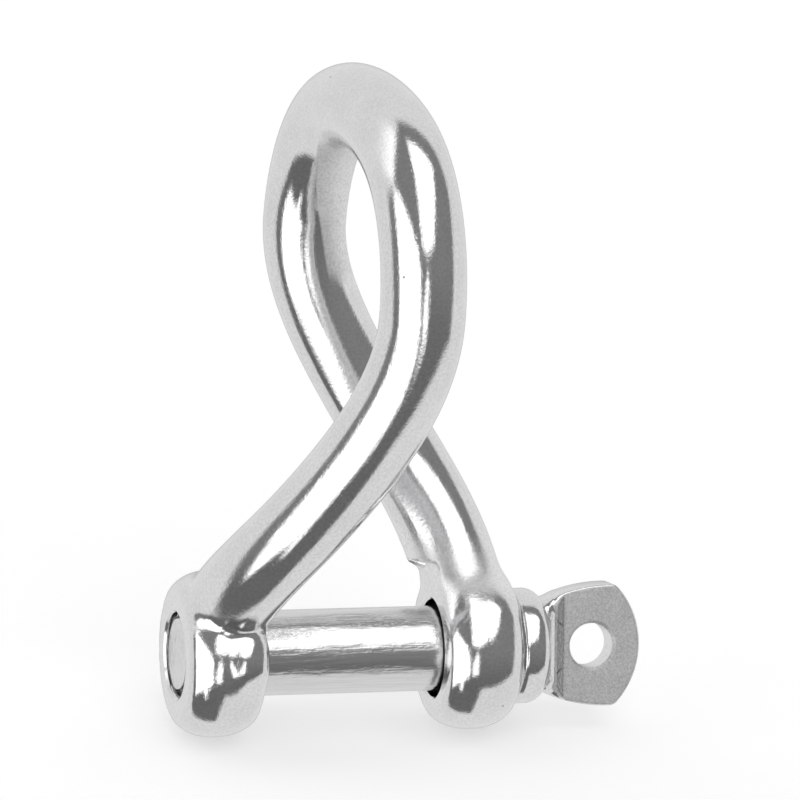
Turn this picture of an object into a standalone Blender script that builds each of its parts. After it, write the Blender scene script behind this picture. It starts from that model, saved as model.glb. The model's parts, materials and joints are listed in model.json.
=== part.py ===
"""Twisted screw-pin shackle forged from 8 mm round bar: one body and one screw pin.

The origin is on the pin's axis at the middle of the jaw. X runs along the pin towards its eye,
and Z runs up to the crown. The legs turn about Z on their way up, so the bow lies across the jaw.
"""

import math

import bmesh
import bpy
from mathutils import Matrix, Vector

MM = 0.001

# Body: rod and bow
ROD_DIAMETER = 8.0 * MM
INSIDE_LENGTH = 46.1 * MM  # from the pin's top to the underside of the crown
BOW_INSIDE_WIDTH = 21.9 * MM
TWIST = math.radians(96.5)  # how far the bow's plane is turned from the jaw's
STRAIGHT_START = 3.8 * MM  # the legs leave the ears upright for this far
FLARE_START = 16.8 * MM  # the legs begin to spread towards the bow's width
LEG_BOWING = 0.35 * MM  # how far the legs stand out halfway up, beyond their ends
SHOULDER_RISE = 0.65 * MM  # how far the bow's shoulders stand above a true half circle
CROWN_OFFSET = Vector((-0.95, 0.5, 0.0)) * MM  # the crown sits a little off the middle of the jaw

# Body: ears
JAW_WIDTH = 18.0 * MM
EAR_THICKNESS = 7.5 * MM
EAR_DIAMETER = 16.0 * MM
EAR_RISE = 0.1 * MM  # the ear's middle above the pin's axis
EAR_OUTER_ROUND = (3.8 * MM, 3.1 * MM)  # rim rounding as forged: along the axis, across it
EAR_INNER_ROUND = (3.6 * MM, 3.0 * MM)
LEG_SWELL = 1.08  # how much a leg thickens where it enters its ear
LEG_SHY = 0.13 * MM  # a leg's outer side inside its ear's outer face
FACING_STOCK = 0.4 * MM  # left on the forging's jaw faces, then milled off
DRESSING_STOCK = 0.5 * MM  # ground off the forging's outer faces

# Pin
SHANK_DIAMETER = 8.2 * MM
THREAD_DIAMETER = 7.8 * MM
THREAD_PITCH = 1.25 * MM
THREAD_DEPTH = 0.7 * MM
THREAD_FLANK = 0.25  # share of the pitch that each flank of the thread takes
THREAD_END_CHAMFER = 0.6 * MM
COLLAR_DIAMETER = 11.2 * MM
COLLAR_THICKNESS = 3.2 * MM
COLLAR_ROUND = 1.3 * MM
COLLAR_EDGE = 0.4 * MM  # rounding beside the ear

# Pin: eye
EYE_LENGTH = 9.8 * MM  # from the collar to the middle of the eye's end
EYE_CORNER_LENGTH = 7.3 * MM  # from the collar to the eye's corners
EYE_WIDTH = 11.9 * MM  # across the corners
EYE_NECK_WIDTH = 7.9 * MM
EYE_THICKNESS = 3.2 * MM
EYE_FLANK_BULGE = 0.6 * MM
EYE_EDGE = 0.35 * MM
EYE_HOLE_DIAMETER = 4.3 * MM
EYE_HOLE_DISTANCE = 4.9 * MM  # from the collar to the hole's middle
EYE_TURN = math.radians(14.9)  # the eye's plane about the pin, when the pin is tight
NECK_LENGTH = 2.3 * MM
NECK_THICKNESS = 5.4 * MM
NECK_SQUARENESS = (3, 4)  # of its section, at the collar and at the eye: 2 is an ellipse
NECK_PINCH = 0.7  # less than 1 thins the neck sooner

# Fits
THREAD_CLEARANCE = 0.3 * MM  # all round, between the thread and the smooth bore that stands for its tapping
PIN_HOLE_CLEARANCE = 0.7 * MM  # all round, between the shank and the plain ear's hole
SEAT_GAP = 0.3 * MM  # between faces that bear on each other
PIN_END_RECESS = 0.3 * MM  # the pin's end inside the threaded ear's outer face
BORE_CHAMFER = 0.35 * MM

# Fineness of the solids
ROD_SIDES = 16
LEG_STEPS = 20
CROWN_STEPS = 14
TURNED_STEPS = 32
ROUND_STEPS = 4
THREAD_STEPS_PER_TURN = 6
FLANK_STEPS = 6
EYE_END_STEPS = 10
NECK_STEPS = 5
SHARP_ANGLE = math.radians(30)  # edges that turn more than this are shaded sharp
WELD_DISTANCE = 0.0001 * MM
OVERLAP = 1.0 * MM  # how far a shape runs into one that it is joined to or cuts through

# Places that follow from the sizes above
EAR_INNER = JAW_WIDTH / 2
EAR_OUTER = EAR_INNER + EAR_THICKNESS
LEG_HALF_SPAN = EAR_OUTER - LEG_SWELL * ROD_DIAMETER / 2 - LEG_SHY
BOW_RADIUS = (BOW_INSIDE_WIDTH + ROD_DIAMETER) / 2
CROWN_TOP = SHANK_DIAMETER / 2 + INSIDE_LENGTH + ROD_DIAMETER / 2
BOW_CENTRE = CROWN_TOP - BOW_RADIUS
COLLAR_START = EAR_OUTER + SEAT_GAP
COLLAR_END = COLLAR_START + COLLAR_THICKNESS
PIN_END = -EAR_OUTER + PIN_END_RECESS
SHANK_START = -EAR_INNER + SEAT_GAP
THREADED_BORE_RADIUS = THREAD_DIAMETER / 2 + THREAD_CLEARANCE
PLAIN_BORE_RADIUS = SHANK_DIAMETER / 2 + PIN_HOLE_CLEARANCE

POLISHED_STEEL = ((0.78, 0.78, 0.79), 0.08, 1.0)  # colour, roughness, metallic
SATIN_STEEL = ((0.62, 0.62, 0.61), 0.30, 1.0)


def clear_scene():
    """Removes whatever the scene holds."""
    for obj in list(bpy.data.objects):
        bpy.data.objects.remove(obj, do_unlink=True)


def metal(name, look):
    """A Principled material from its colour, roughness and metallic value."""
    colour, roughness, metallic = look
    material = bpy.data.materials.new(name)
    material.use_nodes = True
    shader = material.node_tree.nodes["Principled BSDF"]
    shader.inputs["Base Color"].default_value = (*colour, 1.0)
    shader.inputs["Roughness"].default_value = roughness
    shader.inputs["Metallic"].default_value = metallic
    return material


def add_object(name, mesh):
    """Puts a mesh in the scene as a named object."""
    obj = bpy.data.objects.new(name, mesh)
    bpy.context.scene.collection.objects.link(obj)
    return obj


def add_helper(name, mesh):
    """A cutter, or a shape that is joined to a part: seen as wires and left out of renders."""
    obj = add_object(name, mesh)
    obj.hide_render = True
    obj.display_type = "WIRE"
    return obj


def mesh_from(name, bm):
    """Closes the bmesh's doubles, turns its faces outwards and makes a smooth-shaded mesh of it."""
    bmesh.ops.remove_doubles(bm, verts=bm.verts, dist=WELD_DISTANCE)
    bmesh.ops.recalc_face_normals(bm, faces=bm.faces)
    mesh = bpy.data.meshes.new(name)
    bm.to_mesh(mesh)
    bm.free()
    mesh.shade_smooth()
    mesh.set_sharp_from_angle(angle=SHARP_ANGLE)
    return mesh


def boolean(obj, operation, other):
    """Adds an exact Boolean with a helper to an object."""
    modifier = obj.modifiers.new(f"{operation.lower()} {other.name}", "BOOLEAN")
    modifier.operation = operation
    modifier.solver = "EXACT"
    modifier.object = other


def turned(name, profile, centre_height=0.0):
    """A solid turned about the X axis from (x, radius) points, closed on the axis at both ends."""
    bm = bmesh.new()
    points = [bm.verts.new((x, 0.0, radius)) for x, radius in profile]
    edges = [bm.edges.new(pair) for pair in zip(points, points[1:])]
    bmesh.ops.spin(
        bm, geom=points + edges, cent=(0, 0, 0), axis=(1, 0, 0),
        angle=math.tau, steps=TURNED_STEPS, use_merge=True,
    )
    bmesh.ops.translate(bm, verts=bm.verts, vec=(0, 0, centre_height))
    return mesh_from(name, bm)


def quarter_round(x_start, r_start, x_end, r_end, first=0.0):
    """Points of a quarter ellipse from a flat face's edge at the start to the rim at the end.

    first is the angle at which the points begin, when the face cuts the ellipse short.
    """
    points = []
    for step in range(ROUND_STEPS + 1):
        angle = first + (math.pi / 2 - first) * step / ROUND_STEPS
        along = x_start + (x_end - x_start) * (1 - math.cos(angle))
        across = r_start + (r_end - r_start) * math.sin(angle)
        points.append((along, across))
    return points


def ease(t):
    """Goes from 0 to 1 with level ends."""
    t = min(max(t, 0.0), 1.0)
    return t * t * (3 - 2 * t)


def leg_point(height):
    """A point of the +X leg's middle line, below the bow's centre."""
    rise = max(0.0, (height - STRAIGHT_START) / (BOW_CENTRE - STRAIGHT_START))
    turn = TWIST * math.sin(math.pi / 2 * rise)
    flare = ease((height - FLARE_START) / (BOW_CENTRE - FLARE_START))
    span = LEG_HALF_SPAN + (BOW_RADIUS - LEG_HALF_SPAN) * flare
    span += LEG_BOWING * math.sin(math.pi * rise)
    return Vector((span * math.cos(turn), span * math.sin(turn), height))


def crown_point(angle):
    """A point of the bow's round: angle 0 ends the +X leg and angle pi ends the other."""
    span = BOW_RADIUS * math.cos(angle)
    height = BOW_CENTRE + BOW_RADIUS * math.sin(angle)
    height += SHOULDER_RISE * math.sin(2 * angle) ** 2
    return Vector((span * math.cos(TWIST), span * math.sin(TWIST), height))


def rod_path():
    """The rod's middle line, from the +X ear over the crown to the -X ear."""
    heights = [BOW_CENTRE * step / LEG_STEPS for step in range(LEG_STEPS)]
    leg = [leg_point(height) for height in heights]
    crown = [crown_point(math.pi * step / CROWN_STEPS) for step in range(CROWN_STEPS + 1)]
    half_turn = Matrix.Rotation(math.pi, 3, "Z")
    other_leg = [half_turn @ point for point in reversed(leg)]
    path = leg + crown + other_leg
    return [point + CROWN_OFFSET * ease(point.z / BOW_CENTRE) for point in path]


def rod_mesh(name):
    """The bent bar: a round tube along the path, a little thicker where it enters the ears."""
    curve = bpy.data.curves.new(name, "CURVE")
    curve.dimensions = "3D"
    curve.bevel_depth = ROD_DIAMETER / 2
    curve.bevel_resolution = ROD_SIDES // 4 - 1
    curve.use_fill_caps = True
    path = rod_path()
    spline = curve.splines.new("POLY")
    spline.points.add(len(path) - 1)
    for spline_point, point in zip(spline.points, path):
        spline_point.co = (*point, 1.0)
        in_ear = ease(1 - point.z / EAR_DIAMETER)
        spline_point.radius = 1 + (LEG_SWELL - 1) * in_ear
    guide = add_object(name, curve)
    bpy.context.view_layer.update()
    evaluated = guide.evaluated_get(bpy.context.evaluated_depsgraph_get())
    bm = bmesh.new()
    bm.from_mesh(bpy.data.meshes.new_from_object(evaluated))
    bpy.data.objects.remove(guide, do_unlink=True)
    return mesh_from(name, bm)


def ear_mesh(name, side):
    """One ear: a thick disc about the pin's axis with a well rounded rim. side is 1 or -1 along X.

    Its outer face is already ground flat. Its inner face still has the stock that the jaw's milling takes off.
    """
    inner_face = EAR_INNER - FACING_STOCK
    forged_face = EAR_OUTER + DRESSING_STOCK
    rim = EAR_DIAMETER / 2
    outer_axial, outer_radial = EAR_OUTER_ROUND
    inner_axial, inner_radial = EAR_INNER_ROUND
    ground = math.acos(1 - DRESSING_STOCK / outer_axial)
    outer = quarter_round(forged_face, rim - outer_radial, forged_face - outer_axial, rim, ground)
    inner = quarter_round(inner_face, rim - inner_radial, inner_face + inner_axial, rim)
    profile = [(EAR_OUTER, 0.0), *outer, *reversed(inner), (inner_face, 0.0)]
    return turned(name, [(side * x, radius) for x, radius in profile], EAR_RISE)


def bore_cutter(name, side, radius):
    """Cuts an ear's hole along X, with a small chamfer at each mouth."""
    wide = radius + BORE_CHAMFER + OVERLAP
    reach = BORE_CHAMFER + OVERLAP
    outline = [
        (EAR_INNER - OVERLAP, 0.0),
        (EAR_INNER - OVERLAP, wide),
        (EAR_INNER - OVERLAP + reach, radius),
        (EAR_OUTER + OVERLAP - reach, radius),
        (EAR_OUTER + OVERLAP, wide),
        (EAR_OUTER + OVERLAP, 0.0),
    ]
    return turned(name, [(side * x, r) for x, r in outline])


def jaw_cutter(name):
    """Mills the jaw: a disc as wide as the jaw and a little larger than the ears."""
    radius = EAR_DIAMETER / 2 + EAR_RISE + FACING_STOCK
    outline = [(-EAR_INNER, 0.0), (-EAR_INNER, radius), (EAR_INNER, radius), (EAR_INNER, 0.0)]
    return turned(name, outline)


def make_shackle_body():
    """The forged body: rod and ears joined, then the jaw milled and both holes bored."""
    body = add_object("shackle_body", rod_mesh("rod"))
    body.data.materials.append(metal("polished stainless steel", POLISHED_STEEL))
    boolean(body, "UNION", add_helper("plain ear", ear_mesh("plain ear", 1)))
    boolean(body, "UNION", add_helper("threaded ear", ear_mesh("threaded ear", -1)))
    boolean(body, "DIFFERENCE", add_helper("jaw cutter", jaw_cutter("jaw cutter")))
    plain_bore = bore_cutter("plain bore", 1, PLAIN_BORE_RADIUS)
    threaded_bore = bore_cutter("threaded bore", -1, THREADED_BORE_RADIUS)
    boolean(body, "DIFFERENCE", add_helper("plain bore", plain_bore))
    boolean(body, "DIFFERENCE", add_helper("threaded bore", threaded_bore))


def thread_radius(x, angle):
    """The thread's radius at a place: a helical ridge with flat crests and roots, fading out at both ends."""
    phase = (x / THREAD_PITCH - angle / math.tau) % 1.0
    ridge = min(1.0, max(0.0, 0.5 + (0.25 - abs(phase - 0.5)) / THREAD_FLANK))
    start = PIN_END + THREAD_END_CHAMFER
    fade = min(1.0, (x - start) / THREAD_PITCH, (SHANK_START - x) / THREAD_PITCH)
    crest = THREAD_DIAMETER / 2
    groove = (1 - ridge) * THREAD_DEPTH * max(0.0, fade)
    return crest - groove


def thread_stations():
    """Places along the thread, in even steps of its pitch."""
    start = PIN_END + THREAD_END_CHAMFER
    length = SHANK_START - start
    count = math.ceil(length / THREAD_PITCH * THREAD_STEPS_PER_TURN)
    return [start + length * step / count for step in range(count + 1)]


def ring(bm, x, radius_at):
    """A ring of points about the X axis at x, with its radius given for each angle."""
    angles = [math.tau * step / TURNED_STEPS for step in range(TURNED_STEPS)]
    places = [(x, radius_at(a) * math.cos(a), radius_at(a) * math.sin(a)) for a in angles]
    return [bm.verts.new(place) for place in places]


def pin_rings(bm):
    """The pin's rings from its threaded end to the back of its collar."""
    rings = [ring(bm, PIN_END, lambda a: THREAD_DIAMETER / 2 - THREAD_END_CHAMFER)]
    rings += [ring(bm, x, lambda a, x=x: thread_radius(x, a)) for x in thread_stations()]
    shank = SHANK_DIAMETER / 2
    collar = COLLAR_DIAMETER / 2
    profile = [(SHANK_START, shank), (COLLAR_START, shank)]
    profile += quarter_round(COLLAR_START, collar - COLLAR_EDGE, COLLAR_START + COLLAR_EDGE, collar)
    back = quarter_round(COLLAR_END, collar - COLLAR_ROUND, COLLAR_END - COLLAR_ROUND, collar)
    profile += reversed(back)
    return rings + [ring(bm, x, lambda a, r=radius: r) for x, radius in profile]


def pin_core_mesh(name):
    """Thread, shank and collar as one turned body."""
    bm = bmesh.new()
    rings = pin_rings(bm)
    for near, far in zip(rings, rings[1:]):
        for step in range(TURNED_STEPS):
            after = (step + 1) % TURNED_STEPS
            bm.faces.new((near[step], near[after], far[after], far[step]))
    bm.faces.new(rings[0])
    bm.faces.new(reversed(rings[-1]))
    return mesh_from(name, bm)


def arc(start, end, bulge, steps):
    """Points of an arc between two points, standing out by bulge to the left of the way along it."""
    start, end = Vector(start), Vector(end)
    half = (end - start) / 2
    left = Vector((-half.y, half.x)).normalized()
    radius = (half.length_squared + bulge * bulge) / (2 * bulge)
    centre = start + half + left * (bulge - radius)
    sweep = 2 * math.asin(half.length / radius)
    spoke = start - centre
    turns = [Matrix.Rotation(-sweep * step / steps, 2) for step in range(steps + 1)]
    return [centre + turn @ spoke for turn in turns]


def eye_outline():
    """The eye's outline from above its flat face: flanks that spread from the neck, and a round end."""
    neck, corner = EYE_NECK_WIDTH / 2, EYE_WIDTH / 2
    end_bulge = EYE_LENGTH - EYE_CORNER_LENGTH
    root = -OVERLAP
    upper = arc((root, neck), (EYE_CORNER_LENGTH, corner), EYE_FLANK_BULGE, FLANK_STEPS)
    end = arc((EYE_CORNER_LENGTH, corner), (EYE_CORNER_LENGTH, -corner), end_bulge, EYE_END_STEPS)
    lower = [Vector((point.x, -point.y)) for point in reversed(upper)]
    return upper + end[1:-1] + lower


def eye_mesh(name):
    """The flat eye: its outline given a thickness, with the edges broken."""
    bm = bmesh.new()
    points = [bm.verts.new((p.x, -EYE_THICKNESS / 2, p.y)) for p in eye_outline()]
    face = bm.faces.new(points)
    pulled = bmesh.ops.extrude_face_region(bm, geom=[face])
    moved = [item for item in pulled["geom"] if isinstance(item, bmesh.types.BMVert)]
    bmesh.ops.translate(bm, verts=moved, vec=(0, EYE_THICKNESS, 0))
    rims = [edge for edge in bm.edges if abs(edge.verts[0].co.y - edge.verts[1].co.y) < EYE_EDGE]
    bmesh.ops.bevel(bm, geom=rims, offset=EYE_EDGE, segments=1, affect="EDGES")
    return mesh_from(name, bm)


def neck_loop(bm, x, width, thickness, squareness):
    """A rounded loop about X: squareness 2 is an ellipse, and more is nearer to a rectangle."""
    loop = []
    for step in range(TURNED_STEPS):
        angle = math.tau * step / TURNED_STEPS
        c, s = math.cos(angle), math.sin(angle)
        across = math.copysign(abs(c) ** (2 / squareness), c) * thickness / 2
        up = math.copysign(abs(s) ** (2 / squareness), s) * width / 2
        loop.append(bm.verts.new((x, across, up)))
    return loop


def neck_mesh(name):
    """The neck: from a fat oval at the collar down to the eye's thickness."""
    bm = bmesh.new()
    loops = []
    for step in range(NECK_STEPS + 1):
        t = step / NECK_STEPS
        x = -OVERLAP + (NECK_LENGTH + OVERLAP) * t
        pinch = ease(t) ** NECK_PINCH
        squareness = NECK_SQUARENESS[0] + (NECK_SQUARENESS[1] - NECK_SQUARENESS[0]) * t
        thickness = NECK_THICKNESS + (EYE_THICKNESS - EYE_EDGE - NECK_THICKNESS) * pinch
        loops.append(neck_loop(bm, x, EYE_NECK_WIDTH - 2 * EYE_EDGE, thickness, squareness))
    for near, far in zip(loops, loops[1:]):
        for step in range(TURNED_STEPS):
            after = (step + 1) % TURNED_STEPS
            bm.faces.new((near[step], near[after], far[after], far[step]))
    bm.faces.new(loops[0])
    bm.faces.new(reversed(loops[-1]))
    return mesh_from(name, bm)


def eye_hole_mesh(name):
    """Cuts the eye's hole through its thickness, with a small chamfer on both faces."""
    radius = EYE_HOLE_DIAMETER / 2
    half = EYE_THICKNESS / 2
    wide = radius + EYE_EDGE + OVERLAP
    outline = [
        (-half - OVERLAP, 0.0), (-half - OVERLAP, wide), (-half + EYE_EDGE, radius),
        (half - EYE_EDGE, radius), (half + OVERLAP, wide), (half + OVERLAP, 0.0),
    ]
    return turned(name, outline)


def make_screw_pin(pin_axis):
    """The pin: thread, shank, collar, neck and flat eye in one piece."""
    pin = add_object("screw_pin", pin_core_mesh("pin core"))
    pin.parent = pin_axis
    pin.data.materials.append(metal("satin stainless steel", SATIN_STEEL))
    turn = Matrix.Rotation(-EYE_TURN, 4, "X")
    at_collar = Matrix.Translation((COLLAR_END, 0, 0)) @ turn
    neck = add_helper("neck", neck_mesh("neck"))
    neck.matrix_world = at_collar
    eye = add_helper("eye", eye_mesh("eye"))
    eye.matrix_world = at_collar
    hole = add_helper("eye hole", eye_hole_mesh("eye hole"))
    across = Matrix.Rotation(math.pi / 2, 4, "Z")
    hole.matrix_world = at_collar @ Matrix.Translation((EYE_HOLE_DISTANCE, 0, 0)) @ across
    boolean(pin, "UNION", neck)
    boolean(pin, "UNION", eye)
    boolean(pin, "DIFFERENCE", hole)


def make_pin_axis():
    """An empty on the pin's axis, which carries the pin."""
    axis = add_object("pin axis", None)
    axis.empty_display_type = "SINGLE_ARROW"
    axis.empty_display_size = EAR_OUTER
    return axis


def main():
    clear_scene()
    make_shackle_body()
    make_screw_pin(make_pin_axis())
    bpy.context.view_layer.update()


main()
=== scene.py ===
"""Looks for a twisted screw-pin shackle of polished stainless steel, built round its CAD frame.

Both pieces are surfaces worked out on grids: the forged body is found by rays from the bar's middle
line to the blended shape of bar and ears, and the pin is a turned profile joined to a flat eye.
"""

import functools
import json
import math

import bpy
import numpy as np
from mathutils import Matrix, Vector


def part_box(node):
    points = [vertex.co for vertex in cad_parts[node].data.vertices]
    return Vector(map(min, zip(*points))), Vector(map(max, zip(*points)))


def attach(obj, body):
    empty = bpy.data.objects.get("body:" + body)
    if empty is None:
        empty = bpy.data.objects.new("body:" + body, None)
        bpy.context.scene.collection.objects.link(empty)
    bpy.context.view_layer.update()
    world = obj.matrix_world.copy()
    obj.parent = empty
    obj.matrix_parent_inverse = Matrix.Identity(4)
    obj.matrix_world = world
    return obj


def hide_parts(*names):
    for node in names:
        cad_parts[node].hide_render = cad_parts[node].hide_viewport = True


bl_info = {
    "name": "Twisted shackle",
    "version": (1, 0, 0),
    "blender": (4, 5, 0),
    "location": "3D View > Sidebar > Shackle",
    "description": "Builds a polished twisted shackle, its screw pin and a plain studio",
    "category": "Object",
}

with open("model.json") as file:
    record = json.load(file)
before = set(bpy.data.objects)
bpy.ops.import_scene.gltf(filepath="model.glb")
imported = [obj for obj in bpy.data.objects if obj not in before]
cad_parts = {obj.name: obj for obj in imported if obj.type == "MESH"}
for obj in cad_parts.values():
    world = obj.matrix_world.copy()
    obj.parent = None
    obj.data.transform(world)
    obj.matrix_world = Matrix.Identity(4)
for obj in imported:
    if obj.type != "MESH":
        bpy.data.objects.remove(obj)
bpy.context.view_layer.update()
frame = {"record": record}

MM = 0.001
MICRON = 1e-6
BODY_LOW, BODY_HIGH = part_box("shackle_body")
PIN_LOW, PIN_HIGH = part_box("screw_pin")
MOUNTS = {mount["name"]: mount for mount in frame["record"]["mounts"]}

# Places that the frame gives
EAR_INNER = MOUNTS["jaw_face_plain_ear"]["pos_m"][0]
EAR_OUTER = BODY_HIGH.x
EAR_HALF = (EAR_OUTER - EAR_INNER) / 2
EAR_MIDDLE = EAR_INNER + EAR_HALF
EYE_NORMAL = MOUNTS["eye_flat"]["axis"]
EYE_TURN = math.atan2(EYE_NORMAL[2], -EYE_NORMAL[1])
COLLAR_RADIUS = PIN_HIGH.y
FLOOR_HEIGHT = min(BODY_LOW.z, PIN_LOW.z)


def length(name, description, millimetres):
    """A length property whose default is given in millimetres."""
    return bpy.props.FloatProperty(
        name=name, description=description, default=millimetres * MM, min=0.0,
        subtype="DISTANCE", unit="LENGTH", precision=5,
    )


def rotation(name, description, degrees):
    """An angle property whose default is given in degrees."""
    return bpy.props.FloatProperty(
        name=name, description=description, default=math.radians(degrees),
        subtype="ANGLE", unit="ROTATION",
    )


def share(name, description, value):
    """A property between 0 and 1."""
    return bpy.props.FloatProperty(
        name=name, description=description, default=value, min=0.0, max=1.0, subtype="FACTOR",
    )


def colour(name, description, value):
    """A colour property."""
    return bpy.props.FloatVectorProperty(
        name=name, description=description, default=value,
        size=3, min=0.0, max=1.0, subtype="COLOR",
    )


class ShackleBodySizes(bpy.types.PropertyGroup):
    """Sizes of the forged body that its frame leaves open."""

    bar: length("Bar", "Thickness of the bent bar", 8.0)
    bow_width: length("Bow width", "Inside width of the bow at its widest", 21.9)
    twist: rotation("Twist", "Turn of the bow's plane from the jaw's", 96.5)
    straight: length("Straight start", "Height at which the legs begin to turn", 3.8)
    flare: length("Flare start", "Height at which the legs begin to spread", 16.8)
    bowing: length("Leg bowing", "How far the legs stand out halfway up, beyond their ends", 0.35)
    shoulder: length("Shoulder rise", "How far the bow's shoulders pass a half circle", 0.65)
    lean_left: length("Crown offset", "How far the crown sits towards the threaded ear", 0.95)
    lean_back: length("Crown setback", "How far the crown sits behind the jaw's middle", 0.5)
    leg_shy: length("Leg inset", "Leg's outer side inside its ear's outer face", 0.13)
    swell: share("Swell", "How much a leg thickens where it enters its ear", 0.08)
    ear_rise: length("Ear rise", "Ear's middle above the pin's axis", 0.1)
    dome: length("Dome", "How far in from the rim an ear's outer face begins to round over", 3.1)
    dome_depth: length("Dome depth", "How deep the rounding of an ear's outer face is", 3.8)
    dressed: length("Dressed face", "How much dressing takes off an ear's outer face", 0.5)
    inner_dome: length("Inner dome", "How far in from the rim an ear's jaw side rounds over", 2.9)
    inner_depth: length("Inner dome depth", "How deep the rounding of an ear's jaw side is", 3.9)
    lump: length("Lump", "Radius of the swelling on the front of the threaded ear", 3.0)
    lump_place: bpy.props.FloatVectorProperty(
        name="Lump place",
        description="Where the swelling is: along the pin, and up round the ear's rim",
        default=(-11.2 * MM, 1.15 * MM), size=2, subtype="XYZ", unit="LENGTH", precision=5,
    )
    fillet: length("Fillet", "Reach of the blend between a leg and its ear", 1.4)
    milled: length("Milled edge", "Softness of the milled jaw's edges", 0.5)
    plain_bore: length("Plain hole", "Diameter of the plain ear's hole", 9.5)
    tapped_bore: length("Tapped hole", "Diameter of the tapped ear's hole at its crests", 8.3)
    tap_depth: length("Tap depth", "Depth of the tapped hole's thread", 0.3)
    bore_edge: length("Hole edge", "Chamfer at the mouths of the holes", 0.22)


class ScrewPinSizes(bpy.types.PropertyGroup):
    """Sizes of the pin that its frame leaves open."""

    shank: length("Shank", "Thickness of the pin between the ears", 8.2)
    thread: length("Thread", "Diameter over the thread's crests", 7.7)
    pitch: length("Pitch", "Distance between neighbouring threads", 1.25)
    depth: length("Thread depth", "Depth of the thread's grooves", 0.65)
    end_chamfer: length("End chamfer", "Chamfer at the threaded end", 0.35)
    seat: length("Seat", "Gap between the collar and its ear", 0.08)
    collar_round: length("Collar rounding", "Rounding of the collar beside the eye", 1.75)
    collar_edge: length("Collar edge", "Rounding of the collar beside the ear", 0.9)
    eye_length: length("Eye length", "From the collar to the eye's end", 9.8)
    corner: length("Eye corners", "From the collar to the eye's corners", 7.3)
    eye_width: length("Eye width", "Across the eye's corners", 11.9)
    neck_width: length("Neck width", "Across the eye where it leaves the collar", 7.9)
    thickness: length("Eye thickness", "Between the eye's flat faces", 3.2)
    neck_thickness: length("Neck thickness", "Thickness where the eye leaves the collar", 5.2)
    flank_bulge: length("Flank bulge", "How far the eye's flanks stand out", 0.6)
    corner_round: length("Corner rounding", "Rounding of the eye's corners", 0.5)
    edge: length("Eye edge", "Rounding of the eye's edges", 0.3)
    hole: length("Eye hole", "Diameter of the hole in the eye", 4.35)
    hole_distance: length("Hole place", "From the collar to the hole's middle", 4.9)


class SteelFinishes(bpy.types.PropertyGroup):
    """Colours and gloss of the steel."""

    polished: colour("Polished steel", "Colour of the polished steel", (0.76, 0.76, 0.765))
    polished_rough: share("Polish roughness", "Roughness of the polished steel", 0.07)
    drawn: colour("Drawn steel", "Colour of the pin's turned shank", (0.74, 0.74, 0.74))
    drawn_rough: share("Shank roughness", "Roughness of the turned shank", 0.19)
    coined: colour("Coined steel", "Colour of the eye's pressed faces", (0.74, 0.74, 0.74))
    coined_rough: share("Eye roughness", "Roughness of the eye's pressed faces", 0.62)


class StudioSettings(bpy.types.PropertyGroup):
    """The plain studio round the shackle."""

    floor: colour("Floor", "Colour of the floor", (0.6, 0.6, 0.6))
    glow: share("Glow", "Light that the floor gives of itself", 0.5)
    surround: share("Surround", "Brightness of the pale surround", 0.84)
    dark: share("Dark", "Brightness of the room behind the lamps", 0.165)
    lamp: bpy.props.FloatProperty(
        name="Lamp", description="Brightness of the softboxes", default=1.7, min=0.0,
    )
    azimuth: rotation("Azimuth", "Camera's turn round the shackle", -17.31)
    elevation: rotation("Elevation", "Camera's height above level", 19.91)
    roll: rotation("Roll", "Camera's lean", -5.01)
    distance: length("Distance", "From the camera to the shackle", 624.75)
    lens: bpy.props.FloatProperty(
        name="Lens", description="Focal length in millimetres", default=295.2,
    )


# ---------------------------------------------------------------- shapes


def ease(t):
    """Goes from 0 to 1 with level ends, as a cubic."""
    t = np.clip(t, 0.0, 1.0)
    return t * t * (3 - 2 * t)


def smooth_min(a, b, reach):
    """The lower of two distances, rounded with a cubic where they differ by less than reach."""
    near = np.clip(1 - np.abs(a - b) / reach, 0.0, 1.0)
    return np.minimum(a, b) - near**3 * reach / 6


def smooth_max(a, b, reach):
    """The higher of two distances, rounded with a cubic where they differ by less than reach."""
    return -smooth_min(-a, -b, reach)


def stack(*parts):
    """Joins the X, Y and Z arrays of points, whatever their shapes."""
    return np.stack(np.broadcast_arrays(*parts), axis=-1)


def grid_mesh(name, points, poles):
    """A closed mesh from rings of points: neighbours in a ring and in the next ring share a face.

    points has the shape (rings, around, 3). Where poles is true the first and last rings are single
    points repeated, and triangles close onto them; otherwise the last ring joins the first.
    """
    rings, around = points.shape[:2]
    index = np.arange(rings * around).reshape(rings, around)
    if poles:
        index = index[1:-1] - around
        low, high = index[:-1], index[1:]
        ends = np.array([0, 1]) + index.size
        places = np.concatenate([points[1:-1].reshape(-1, 3), points[[0, -1], 0]])
        first, last = index[0], index[-1]
        caps = np.concatenate([
            np.stack([np.full(around, ends[0]), np.roll(first, -1), first], axis=-1),
            np.stack([np.full(around, ends[1]), last, np.roll(last, -1)], axis=-1),
        ]).tolist()
    else:
        places = points.reshape(-1, 3)
        low, high = index, np.roll(index, -1, axis=0)
        caps = []
    quads = np.stack([low, np.roll(low, -1, axis=1), np.roll(high, -1, axis=1), high], axis=-1)
    mesh = bpy.data.meshes.new(name)
    mesh.from_pydata(places.tolist(), [], quads.reshape(-1, 4).tolist() + caps)
    mesh.validate()
    mesh.update()
    return mesh


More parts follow.
